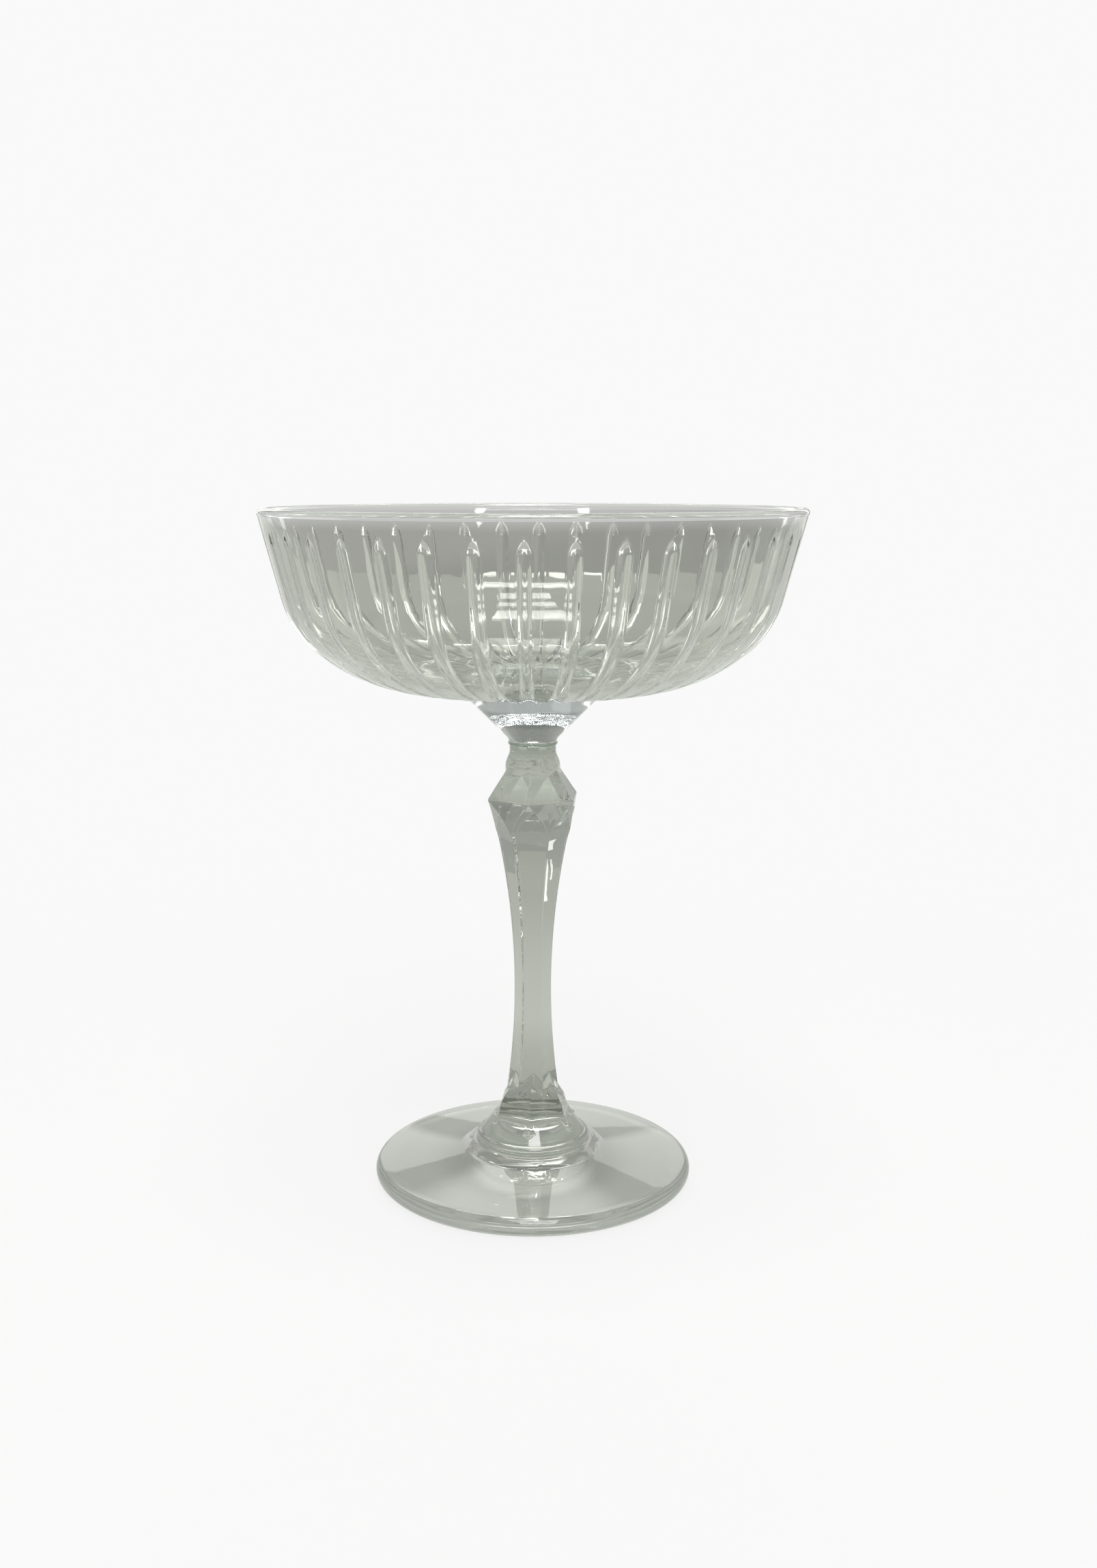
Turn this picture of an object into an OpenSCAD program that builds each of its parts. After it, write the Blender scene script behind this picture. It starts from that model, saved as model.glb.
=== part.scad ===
// Coupe glass: fluted bowl, button, six-sided stem with a ridged knop, and foot.
// Millimetres, +Z up, origin on the table at the centre of the foot.

/* [Foot] */
// Diameter of the foot
foot_d = 66.6; // [60:0.2:74]
// Thickness of the foot's rounded edge
foot_edge = 3.9; // [3:0.1:5]
// Height of the foot's top face, where the stem sits
foot_h = 7.6; // [6.5:0.1:9]
// Width of the hollow in which the foot's coned top rises to the stem
sweep_w = 2.8; // [2.2:0.1:3.2]
// Height of that hollow
sweep_h = 1.3; // [1.2:0.1:1.6]
// Width of the flat ring that the glass stands on
rest_ring = 3.4; // [2:0.1:6]
// Depth of the hollow under the foot
foot_kick = 1.4; // [0.6:0.1:2]

/* [Stem] */
// Height of the stem, from the foot to the button
stem_h = 84.6; // [80:0.2:88]
// Diameter of the stem's round base
base_d = 23.8; // [22.8:0.2:27]
// Thickness of the round base's edge
base_edge = 2.2; // [1.6:0.1:2.6]
// Diameter of the round cone where it rises from the base's edge
flare_d = 21.8; // [20.6:0.2:22]
// Diameter of the round cone's top
flare_top_d = 16.6; // [15:0.2:18]
// Height of the round cone
flare_h = 3.2; // [2.6:0.1:3.8]
// Width across the six-sided cove at its foot
cove_w = 17.2; // [16.4:0.2:18]
// Radius of the cove
cove = 6; // [4:0.5:10]
// Height of the band under the lower ridge
band_h = 1.4; // [1:0.1:1.8]
// Extra width on each side at the band's lower edge
band_out = 0.35; // [0.2:0.05:0.5]
// Height of the lower ridge above the foot
low_ridge_h = 9; // [8.4:0.1:10]
// Diameter across the lower ridge's corners
low_ridge_d = 14.6; // [14:0.1:15.4]
// Lean of the faces above the lower ridge
low_lean = 30; // [26:0.5:36]
// Width across the flats at the waist
waist = 6.68; // [6:0.02:7.4]
// Height of the waist above the foot
waist_h = 33.4; // [30:0.2:36]
// Radius of the long hollow along each flat
flat_hollow = 179; // [165:1:210]
// Distance from the button down to the knop's ridge
ridge_drop = 10.6; // [10.2:0.1:13]
// Diameter across the ridge's corners
ridge_d = 20.2; // [19.4:0.1:22]
// Lean of the faces under the knop's ridge
under_lean = 8.5; // [7:0.5:10]
// Lean of the faces above the knop's ridge
upper_lean = 32; // [30:0.5:36]
// Radius of the hollow that runs each flat out to a corner of the ridge
runout = 26; // [22:0.5:32]
// Diameter of the round collar above the knop
collar_d = 11.2; // [10.6:0.1:12]
// Height of the collar's shoulder above the knop's ridge
collar_h = 6.6; // [6.2:0.1:7]
// Height of the slope between the collar and the neck
collar_slope = 3; // [2.4:0.1:3.2]
// Diameter of the neck
neck_d = 9.48; // [8.6:0.04:10]

/* [Button] */
// Height of the button, from the neck to the bowl
button_h = 10.8; // [9:0.1:14]
// Diameter of the button's top, where the bowl sits
button_d = 28.6; // [26:0.2:32]
// Lean of the button's side
button_lean = 45; // [42:0.5:48]
// Radius of the hollow between the button's side and the neck
button_fillet = 2.5; // [1:0.1:3]

/* [Bowl] */
// Diameter of the rim
rim_d = 108.9; // [100:0.1:118]
// Height of the bowl, from the button to the rim
bowl_h = 37; // [34:0.2:42]
// Thickness of the wall
wall = 1.5; // [1.4:0.1:2.4]
// Thickness of the beaded lip
lip = 1.7; // [1.6:0.1:2.6]
// Thickness of the floor over the button
floor_t = 1.6; // [1.5:0.1:2.4]
// Lean of the upper wall from upright
wall_lean = 14.6; // [10:0.2:18]
// Radius of the shoulder under the upper wall
shoulder = 20.5; // [17:0.5:23]
// Lean at which the shoulder passes into the belly
shoulder_lean = 50; // [46:1:54]
// Radius of the belly
belly = 33.8; // [30:0.2:38]
// Slope of the bowl's underside beside the button
under_slope = 6; // [5:0.5:8]

/* [Flutes] */
// Number of flutes round the bowl
flutes = 38; // [30:1:40]
// Width of a flute
flute_w = 2.4; // [1.8:0.1:2.8]
// Depth of a flute
flute_deep = 0.45; // [0.3:0.05:0.6]
// Distance from the rim down to the flutes' tips
flute_top = 4.7; // [4:0.1:8]
// Height of the pointed arch at a flute's tip
flute_arch = 2.7; // [2:0.1:4]
// Distance from the button's edge to the flutes' lower ends
flute_gap = 1; // [0.6:0.1:4]
// Turn of the first flute from the front
flute_turn = -1.6; // [-5:0.1:5]

/* [Hidden] */
$fn = 96;
big_fn = 720;
slack = 1;
sides = 6;
glass = [0.62, 0.67, 0.61, 0.6];

// Heights above the table at which the pieces meet
stem_z = foot_h;
button_z = stem_z + stem_h;
bowl_z = button_z + button_h;

// Directions in a section through the axis, for a wall that leans outwards by a degrees
function out_of(a) = [cos(a), -sin(a)];
function down(a) = [-sin(a), -cos(a)];
// Centre of the circle of radius r through p and q, on the right of the way from p to q
function centre(p, q, r) =
    let (d = q - p, n = [d[1], -d[0]] / norm(d))
    (p + q) / 2 + n * sqrt(r * r - d * d / 4);

// Foot
foot_r = foot_d / 2;
edge_r = foot_edge / 2;
edge_c = [foot_r - edge_r, edge_r];
seat_r = base_d / 2 + base_edge / 4;
sweep_low = [seat_r + sweep_w, foot_h - sweep_h];
sweep_high = [seat_r, foot_h];
cone_slope = atan((sweep_low[1] - foot_edge) / (edge_c[0] - sweep_low[0]));
// The hollow starts from the cone with a slight crease
sweep_crease = 1;
sweep_bend = atan(sweep_h / sweep_w) - cone_slope + sweep_crease;
sweep_r = norm(sweep_high - sweep_low) / (2 * sin(sweep_bend));
kick_r = edge_c[0] - rest_ring;
kick_sphere = (kick_r * kick_r + foot_kick * foot_kick) / (2 * foot_kick);

// Stem: the ridge corners point along the turn, and the flats lie under the corners
stem_turn = -5;
half_side = 180 / sides;
waist_z = stem_z + waist_h;
flat_r = waist / 2 + flat_hollow;
function flat_at(z) = flat_r - sqrt(pow(flat_hollow, 2) - pow(z - waist_z, 2));
ridge_z = button_z - ridge_drop;
ridge_r = ridge_d / 2;
ridge_a = ridge_r * cos(half_side);
// Height of the run-outs, and how far the knop reaches past them into the leg
corner_gap = 0.1;
run_h = 9;
run_lap = 1.2;
under_h = run_h + run_lap;
run_c = centre([flat_at(ridge_z - run_h), ridge_z - run_h], [ridge_r + corner_gap, ridge_z], runout);
// Lower ridge, its band and its cove, which reaches down into the round cone
low_z = stem_z + low_ridge_h;
low_a = low_ridge_d / 2 * cos(half_side);
low_over_h = (low_a - waist / 2) / tan(low_lean);
band_a = low_a + band_out;
band_z = low_z - band_h;
cone_z = stem_z + base_edge;
cove_lap = 1.2;
cove_a = cove_w / 2;
cove_z = cone_z + flare_h - cove_lap;
cove_c = centre([cove_a, cove_z], [band_a, band_z], cove);
function cove_lean(z) = 180 - asin((cove_c[1] - z) / cove);
// How far the leg reaches into the ridged solids, and the collar over the knop's top
sink = 2;
collar_lap = 0.6;
collar_r = collar_d / 2;
knop_top_a = (collar_r - collar_lap) * cos(half_side);
knop_h = (ridge_a - knop_top_a) / tan(upper_lean);
collar_z = ridge_z + collar_h;
neck_r = neck_d / 2;

// Button
button_r = button_d / 2;

// Bowl, measured up from its seat on the button
bowl_r = rim_d / 2;
lip_r = lip / 2;
lip_c = [bowl_r - lip_r, bowl_h - lip_r];
dish_lean = 90 - under_slope;
wall_top = lip_c + out_of(wall_lean) * wall / 2;
arcs_w = shoulder * (cos(wall_lean) - cos(shoulder_lean)) + belly * (cos(shoulder_lean) - cos(dish_lean));
arcs_h = shoulder * (sin(shoulder_lean) - sin(wall_lean)) + belly * (sin(dish_lean) - sin(shoulder_lean));
wall_len = (wall_top[1] - arcs_h - (wall_top[0] - arcs_w - button_r) * tan(under_slope))
    / (cos(wall_lean) - sin(wall_lean) * tan(under_slope));
wall_end = wall_top + down(wall_lean) * wall_len;
shoulder_c = wall_end - out_of(wall_lean) * shoulder;
shoulder_end = shoulder_c + out_of(shoulder_lean) * shoulder;
belly_c = shoulder_end - out_of(shoulder_lean) * belly;
belly_end = belly_c + out_of(dish_lean) * belly;

// Flutes
arch_r = (flute_w * flute_w / 4 + flute_arch * flute_arch) / flute_w;
arc_steps = 6;

// Points of an arc round c between the leans a and b
function arc(c, r, a, b) = [for (i = [0 : arc_steps]) c + out_of(a + (b - a) * i / arc_steps) * r];

// Outline of the bowl's outside, drawn in by a thickness t
module bowl_outline(t) {
    top = wall_top - out_of(wall_lean) * t;
    end = belly_end - out_of(dish_lean) * t;
    polygon(concat(
        [[0, top[1]], top],
        arc(shoulder_c, shoulder - t, wall_lean, shoulder_lean),
        arc(belly_c, belly - t, shoulder_lean, dish_lean),
        [[0, end[1] - end[0] * tan(under_slope)]]
    ));
}

// Section of one flute: what lies outside the bowl's outline drawn in by the flute's depth, up to
// the tip and in to the button, where the floor of the flute rises to the surface
module flute_section() {
    deep_end = belly_end - out_of(dish_lean) * flute_deep;
    in_end = [button_r + flute_gap, flute_gap * tan(under_slope)];
    difference() {
        translate([in_end[0], -slack]) square([bowl_r, bowl_h - flute_top + slack]);
        bowl_outline(flute_deep);
        polygon([in_end, deep_end, [in_end[0], deep_end[1]]]);
    }
}

// Front of one flute: straight sides and a pointed arch
module flute_front() {
    spring = bowl_h - flute_top - flute_arch;
    translate([-flute_w / 2, -slack]) square([flute_w, spring + slack]);
    intersection() {
        translate([flute_w / 2 - arch_r, spring]) circle(r = arch_r);
        translate([arch_r - flute_w / 2, spring]) circle(r = arch_r);
        translate([-flute_w, spring]) square([2 * flute_w, 2 * flute_arch]);
    }
}

// The hollow of one flute, in the plane of X and Z
module flute() {
    intersection() {
        rotate([90, 0, 0]) linear_extrude(height = 2 * flute_w, center = true) flute_section();
        rotate([90, 0, 90]) linear_extrude(height = bowl_r + slack) flute_front();
    }
}

// A solid with the same section across each pair of opposite sides
module six_sided(turn, width) {
    intersection_for (i = [0 : sides / 2 - 1])
        rotate([0, 0, turn + i * 360 / sides]) rotate([90, 0, 0])
            linear_extrude(height = width, center = true) children();
}

// Six sides turned to face the ridges' corners, each hollowed by a circle round c
module hollowed(c, r, low, high) {
    six_sided(stem_turn + half_side, 2 * ridge_d) difference() {
        translate([-c[0], low]) square([2 * c[0], high - low]);
        for (s = [-1, 1]) translate([s * c[0], c[1]]) circle(r = r, $fn = big_fn);
    }
}

module foot() {
    color(glass) rotate_extrude() {
        difference() {
            polygon([[0, 0], [edge_c[0], 0], [edge_c[0], foot_edge], sweep_low, sweep_high, [0, foot_h]]);
            translate(centre(sweep_low, sweep_high, sweep_r)) circle(r = sweep_r, $fn = big_fn);
            translate([0, foot_kick - kick_sphere]) circle(r = kick_sphere, $fn = big_fn);
        }
        intersection() {
            translate(edge_c) circle(r = edge_r);
            translate([edge_c[0], 0]) square([foot_edge, foot_edge]);
        }
    }
}

// The long leg, hollowed along each flat
module leg() {
    hollowed([flat_r, waist_z], flat_hollow, low_z - sink, ridge_z - sink);
}

// The ridged knop, wider at its ridge, with the flats run out to its corners
module knop() {
    under_a = ridge_a - under_h * tan(under_lean);
    intersection() {
        six_sided(stem_turn, 3 * ridge_d) polygon([
            [-under_a, ridge_z - under_h],
            [under_a, ridge_z - under_h],
            [ridge_a, ridge_z],
            [knop_top_a, ridge_z + knop_h],
            [-knop_top_a, ridge_z + knop_h],
            [-ridge_a, ridge_z]
        ]);
        hollowed(run_c, runout, ridge_z - under_h - slack, ridge_z + knop_h + slack);
    }
}

// The lower ridge, with a band and a cove under it
module low_ridge() {
    side = concat(
        [[cove_a, cone_z]],
        arc(cove_c, cove, cove_lean(cove_z), cove_lean(band_z)),
        [[low_a, low_z], [waist / 2, low_z + low_over_h]]
    );
    last = len(side) - 1;
    six_sided(stem_turn, 3 * low_ridge_d)
        polygon(concat(side, [for (i = [0 : last]) [-side[last - i][0], side[last - i][1]]]));
}

// Round base: a rounded edge and a cone
module flare() {
    bead_r = base_edge / 2;
    bead_x = base_d / 2 - bead_r;
    rotate_extrude() {
        polygon([
            [0, stem_z],
            [bead_x, stem_z],
            [bead_x, cone_z],
            [flare_d / 2, cone_z],
            [flare_top_d / 2, cone_z + flare_h],
            [0, cone_z + flare_h]
        ]);
        intersection() {
            translate([bead_x, stem_z + bead_r]) circle(r = bead_r);
            translate([bead_x, stem_z]) square([base_edge, base_edge]);
        }
    }
}

// Round collar and neck above the knop
module neck() {
    rotate_extrude() polygon([
        [0, ridge_z + slack],
        [collar_r, ridge_z + slack],
        [collar_r, collar_z],
        [neck_r, collar_z + collar_slope],
        [neck_r, button_z],
        [0, button_z]
    ]);
}

module stem() {
    color(glass) union() {
        leg();
        knop();
        low_ridge();
        flare();
        neck();
    }
}

module button() {
    // Where the neck's line meets the side's line, and the hollow that rounds it
    corner_z = bowl_z - (button_r - neck_r) / tan(button_lean);
    round_len = button_fillet * tan(button_lean / 2);
    hollow_c = [neck_r + button_fillet, corner_z - round_len];
    hollow_end = [neck_r, corner_z] + [sin(button_lean), cos(button_lean)] * round_len;
    color(glass) rotate_extrude() difference() {
        polygon([
            [0, button_z],
            [neck_r, button_z],
            [hollow_c[0], button_z],
            hollow_end,
            [button_r, bowl_z],
            [0, bowl_z]
        ]);
        translate(hollow_c) circle(r = button_fillet);
    }
}

module bowl() {
    color(glass) translate([0, 0, bowl_z]) difference() {
        union() {
            rotate_extrude() difference() {
                bowl_outline(0);
                difference() {
                    bowl_outline(wall);
                    square([bowl_r, floor_t]);
                }
                translate([0, -bowl_h]) square([bowl_r, bowl_h]);
            }
            rotate_extrude() translate(lip_c) circle(r = lip_r);
        }
        for (i = [0 : flutes - 1])
            rotate([0, 0, flute_turn - 90 + i * 360 / flutes]) flute();
    }
}

foot();
stem();
button();
bowl();
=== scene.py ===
"""A coupe glass of tinted pressed glass: fluted bowl, button, six-sided stem and coned foot.

Sizes of the glass are in millimetres and become metres when a skin is put into a mesh. The studio is
in metres. +Z is up, the origin is on the table at the centre of the foot, and -Y points at the
viewer. Every piece is one closed skin of rings round the Z axis, worked out as whole arrays.
"""

import logging
import math
from dataclasses import dataclass
from enum import Enum
from typing import Optional, Sequence

import bpy
import numpy as np
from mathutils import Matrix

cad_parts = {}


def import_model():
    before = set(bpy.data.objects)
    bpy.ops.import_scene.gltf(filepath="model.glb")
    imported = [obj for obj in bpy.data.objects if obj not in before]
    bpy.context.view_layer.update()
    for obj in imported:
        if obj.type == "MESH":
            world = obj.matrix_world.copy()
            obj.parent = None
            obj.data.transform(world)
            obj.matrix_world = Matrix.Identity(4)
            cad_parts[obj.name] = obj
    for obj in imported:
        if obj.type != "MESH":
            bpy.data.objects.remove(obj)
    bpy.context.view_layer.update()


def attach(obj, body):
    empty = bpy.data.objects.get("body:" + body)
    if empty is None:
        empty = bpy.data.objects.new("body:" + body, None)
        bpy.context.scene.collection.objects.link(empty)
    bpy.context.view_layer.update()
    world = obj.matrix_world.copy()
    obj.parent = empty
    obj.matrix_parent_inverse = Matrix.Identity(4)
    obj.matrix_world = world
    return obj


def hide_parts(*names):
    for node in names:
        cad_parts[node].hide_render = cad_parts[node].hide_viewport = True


LOG = logging.getLogger("coupe_glass")
MM = 0.001
PHOTO_W = 1607
PHOTO_H = 2296
FRONT = -0.5 * math.pi
HEX_FLAT = math.cos(math.pi / 6)
HEX_HALF_DEG = 30.0
TINY = 1e-9

# Heights and radii at which one piece is fused to the next, and the names that lights are linked to.
FOOT_TOP = 7.6
STEM_TOP = 92.2
BUTTON_TOP = 103.0
NECK_R = 4.74
BOWL_JOINT_R = 14.3
STEM_NAME = "stem_glass"
BOWL_NAME = "bowl_glass"


class Layer(Enum):
    """Which of a piece's two finishes a ring of faces takes."""

    GLASS = 0
    FUSED = 1


def linear(code: str) -> tuple[float, float, float, float]:
    """Turn an sRGB hex colour into linear light.

    Args:
        code: Six hex digits after a hash sign.

    Returns:
        Red, green, blue and an alpha of 1.
    """
    parts = [int(code[i:i + 2], 16) / 255 for i in (1, 3, 5)]
    light = [p / 12.92 if p <= 0.04045 else ((p + 0.055) / 1.055) ** 2.4 for p in parts]
    return light[0], light[1], light[2], 1.0


def add_node(tree: bpy.types.NodeTree, kind: str, inputs: Optional[dict] = None,
             **settings: object) -> bpy.types.Node:
    """Add a node with its settings and its inputs.

    Args:
        tree: The node tree that gets the node.
        kind: The node's type name.
        inputs: Input name or number to a value, or to an output socket that is linked to it.
        **settings: Attributes of the node itself.

    Returns:
        The new node.
    """
    made = tree.nodes.new(kind)
    for key, value in settings.items():
        setattr(made, key, value)
    for key, value in (inputs or {}).items():
        if isinstance(value, bpy.types.NodeSocket):
            tree.links.new(value, made.inputs[key])
        else:
            made.inputs[key].default_value = value
    return made


def soft_min(a: np.ndarray, b: np.ndarray, width: float) -> np.ndarray:
    """Give the smaller of two values, with the crossing rounded over a width."""
    share = np.clip(0.5 + 0.5 * (b - a) / width, 0, 1)
    return b + (a - b) * share - width * share * (1 - share)


def soft_max(a: np.ndarray, b: np.ndarray, width: float) -> np.ndarray:
    """Give the larger of two values, with the crossing rounded over a width."""
    return -soft_min(-a, -b, width)


def smooth_step(low: float, high: float, x: np.ndarray) -> np.ndarray:
    """Rise from 0 at low to 1 at high, level at both ends."""
    t = np.clip((x - low) / (high - low), 0, 1)
    return t * t * (3 - 2 * t)


def polar(angle: float) -> np.ndarray:
    """Direction in a section through the axis, outwards and up by an angle in degrees."""
    return np.array([math.cos(math.radians(angle)), math.sin(math.radians(angle))])


def arc(centre: np.ndarray, radius: float, start: float, end: float, steps: int) -> np.ndarray:
    """Points of an arc in a section, centre plus radius times the direction of evenly spaced angles.

    Args:
        centre: Distance from the axis and height of the arc's centre.
        radius: The arc's radius.
        start: First angle, in degrees above the outward level.
        end: Last angle.
        steps: Number of steps, one less than the number of points.

    Returns:
        Points, one row each.
    """
    turn = np.radians(np.linspace(start, end, steps + 1))
    return centre + radius * np.stack([np.cos(turn), np.sin(turn)], axis=1)


def line(start: Sequence[float], end: Sequence[float], steps: int) -> np.ndarray:
    """Evenly spaced points of a straight line, with both ends."""
    share = np.linspace(0, 1, steps + 1)[:, None]
    return np.asarray(start) * (1 - share) + np.asarray(end) * share


def join(*runs: np.ndarray) -> np.ndarray:
    """Chain runs of points, each starting where the one before it ends, without doubled points."""
    return np.concatenate([runs[0]] + [run[1:] for run in runs[1:]])


@dataclass(frozen=True)
class PressedGlass:
    """Soda-lime glass pressed in a mould and fire-polished.

    It is clear and very smooth, with a sage tint, and the mould leaves it slightly wavy, which bends
    what is seen through it into soft streaks. The tint's colours are pairs of a height and a colour,
    going up, and where they get lighter or darker they are painted light and shade.
    """

    name: str
    tint_and_painted_shading: tuple[tuple[float, str], ...]
    wave_mm: float = 9.0
    wave_depth_mm: float = 0.02
    wave_detail: float = 2.0
    roughness: float = 0.012
    ior: float = 1.52

    def build(self) -> bpy.types.Material:
        """Make the material: a tint with painted light and shade that changes with height, and waves of a
        set size and depth.

        Returns:
            The material.
        """
        made = bpy.data.materials.new(self.name)
        made.use_nodes = True
        tree = made.node_tree
        tree.nodes.clear()
        place = add_node(tree, "ShaderNodeTexCoord").outputs["Object"]
        height = add_node(tree, "ShaderNodeSeparateXYZ", {0: place}).outputs["Z"]
        low, high = self.tint_and_painted_shading[0][0], self.tint_and_painted_shading[-1][0]
        rise = add_node(tree, "ShaderNodeMapRange", {0: height, 1: low * MM, 2: high * MM}).outputs[0]
        # The ramp gives the sage tint with painted light and shade by height.
        ramp = add_node(tree, "ShaderNodeValToRGB", {0: rise})
        for number, (level, code) in enumerate(self.tint_and_painted_shading):
            share = (level - low) / (high - low)
            stops = ramp.color_ramp.elements
            stop = stops[number] if number < 2 else stops.new(share)
            stop.position = share
            stop.color = linear(code)
        colour = ramp.outputs[0]
        waves = add_node(tree, "ShaderNodeTexNoise", {"Vector": place, "Scale": 1 / (self.wave_mm * MM),
                                                      "Detail": self.wave_detail}).outputs[0]
        bump = add_node(tree, "ShaderNodeBump", {"Height": waves, "Strength": 1.0,
                                                 "Distance": self.wave_depth_mm * MM}).outputs[0]
        glass = add_node(tree, "ShaderNodeBsdfPrincipled", {
            "Base Color": colour, "Roughness": self.roughness, "IOR": self.ior,
            "Transmission Weight": 1.0, "Normal": bump})
        add_node(tree, "ShaderNodeOutputMaterial", {"Surface": glass.outputs[0]})
        return made


@dataclass(frozen=True)
class FusedJoint:
    """The place inside the glass where two pressed pieces were melted together, which can't be seen."""

    name: str = "fused_glass_joint"

    def build(self) -> bpy.types.Material:
        """Make the material, which lets light straight through.

        Returns:
            The material.
        """
        made = bpy.data.materials.new(self.name)
        made.use_nodes = True
        tree = made.node_tree
        tree.nodes.clear()
        clear = add_node(tree, "ShaderNodeBsdfTransparent")
        add_node(tree, "ShaderNodeOutputMaterial", {"Surface": clear.outputs[0]})
        return made


@dataclass
class RingSkin:
    """A closed skin of rings round the axis, with a pole at each end.

    The rings start beside the lower pole, go out and up round the outside, and end beside the upper
    pole. Faces between rings are quads, and triangles join the first and last ring to the poles.
    """

    name: str
    rings: np.ndarray
    first_pole: float
    last_pole: float
    layers: np.ndarray
    sharp_deg: float = 50.0

    def build(self, glass: bpy.types.Material, fused: bpy.types.Material) -> bpy.types.Object:
        """Put the skin into a mesh object at the origin.

        Args:
            glass: Finish of the surface that shows.
            fused: Finish of the faces where two pieces meet.

        Returns:
            The object, linked to the scene.
        """
        rows, cols, _ = self.rings.shape
        poles = [[0, 0, self.first_pole], [0, 0, self.last_pole]]
        points = np.concatenate([self.rings.reshape(-1, 3), poles])
        index = np.arange(rows * cols).reshape(rows, cols)
        ahead = np.roll(index, -1, axis=1)
        quads = np.stack([index[:-1], ahead[:-1], ahead[1:], index[1:]], axis=-1).reshape(-1, 4)
        start = np.full(cols, rows * cols)
        fan_low = np.stack([start, ahead[0], index[0]], axis=-1)
        fan_high = np.stack([index[-1], ahead[-1], start + 1], axis=-1)
        corners = np.concatenate([quads.ravel(), fan_low.ravel(), fan_high.ravel()])
        sizes = np.concatenate([np.full(len(quads), 4), np.full(2 * cols, 3)])
        layer = np.concatenate([np.repeat(self.layers[1:-1], cols), np.repeat(self.layers[[0, -1]], cols)])
        mesh = bpy.data.meshes.new(self.name)
        mesh.vertices.add(len(points))
        mesh.vertices.foreach_set("co", (points * MM).astype(np.float32).ravel())
        mesh.loops.add(len(corners))
        mesh.loops.foreach_set("vertex_index", corners.astype(np.int32))
        mesh.polygons.add(len(sizes))
        mesh.polygons.foreach_set("loop_start", (np.cumsum(sizes) - sizes).astype(np.int32))
        mesh.materials.append(glass)
        mesh.materials.append(fused)
        mesh.polygons.foreach_set("material_index", layer.astype(np.int32))
        mesh.update(calc_edges=True)
        mesh.validate()
        mesh.shade_smooth()
        mesh.set_sharp_from_angle(angle=math.radians(self.sharp_deg))
        made = bpy.data.objects.new(self.name, mesh)
        bpy.context.collection.objects.link(made)
        return made


def spin(profile: np.ndarray, theta: np.ndarray) -> np.ndarray:
    """Turn a profile round the axis, r times the cosine and sine of each angle.

    Args:
        profile: Points of distance from the axis and height.
        theta: Angles from +X, in radians.

    Returns:
        Rings of points: rows, columns, 3.
    """
    r = profile[:, :1]
    z = np.repeat(profile[:, 1:2], len(theta), axis=1)
    return np.stack([r * np.cos(theta), r * np.sin(theta), z], axis=-1)


def even_turn(count: int, offset: float = 0.0) -> np.ndarray:
    """Evenly spaced angles for a full turn."""
    return offset + np.arange(count) * 2 * math.pi / count


def layer_rows(count: int, fused: Sequence[int] = ()) -> np.ndarray:
    """Layers of the strips of faces, glass but for some.

    Args:
        count: Number of strips, with the fan at each end.
        fused: Strips that lie in a joint, counted from the first fan.

    Returns:
        A layer's value for each strip.
    """
    made = np.full(count, Layer.GLASS.value)
    made[list(fused)] = Layer.FUSED.value
    return made


@dataclass
class Foot:
    """The round foot: hollow underneath, with a flat ring to stand on, a round edge and a coned top."""

    radius: float = 33.3
    edge: float = 3.9
    height: float = FOOT_TOP
    ring: float = 3.4
    kick: float = 1.4
    seat: float = 12.45
    sweep_w: float = 2.8
    sweep_h: float = 1.3
    crease_deg: float = 1.0
    joint: float = 10.8
    joint_steps: int = 4
    pole_share: float = 0.04
    pole_r: float = 0.4
    columns: int = 240

    def profile(self) -> np.ndarray:
        """Section from beside the axis underneath, out round the edge, and in over the top.

        The hollow underneath is a parabola. The top is a straight slope, and an arc sweeps from it up
        to the seat of the stem.

        Returns:
            Points of distance from the axis and height.
        """
        half = self.edge / 2
        rim_x = self.radius - half
        rest_in = rim_x - self.ring
        x = np.linspace(self.pole_share, 1, 22) * rest_in
        under = np.stack([x, self.kick * (1 - (x / rest_in) ** 2)], axis=1)
        start = np.array([self.seat + self.sweep_w, self.height - self.sweep_h])
        slope = math.degrees(math.atan2(start[1] - self.edge, rim_x - start[0]))
        edge = arc(np.array([rim_x, half]), half, -90, 90 - slope, 20)
        ease = slope - self.crease_deg
        bend = math.degrees(math.atan2(self.sweep_h, self.sweep_w)) - ease
        radius = math.hypot(self.sweep_w, self.sweep_h) / (2 * math.sin(math.radians(bend)))
        sweep = arc(start + radius * polar(90 - ease), radius, -90 - ease, -90 - ease - 2 * bend, 14)
        seat = [self.joint, self.height]
        return join(under, line(under[-1], [rim_x, 0], 4), edge, line(edge[-1], start, 16), sweep,
                    line(sweep[-1], seat, 2), line(seat, [self.pole_r, self.height], self.joint_steps))

    def build(self, glass: bpy.types.Material, fused: bpy.types.Material) -> bpy.types.Object:
        """Make the foot's skin.

        Args:
            glass: Finish of the surface.
            fused: Finish under the stem.

        Returns:
            The foot's object.
        """
        profile = self.profile()
        last = len(profile)
        layers = layer_rows(last + 1, range(last - self.joint_steps, last + 1))
        rings = spin(profile, even_turn(self.columns))
        return RingSkin("foot_glass", rings, self.kick, self.height, layers).build(glass, fused)


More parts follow.
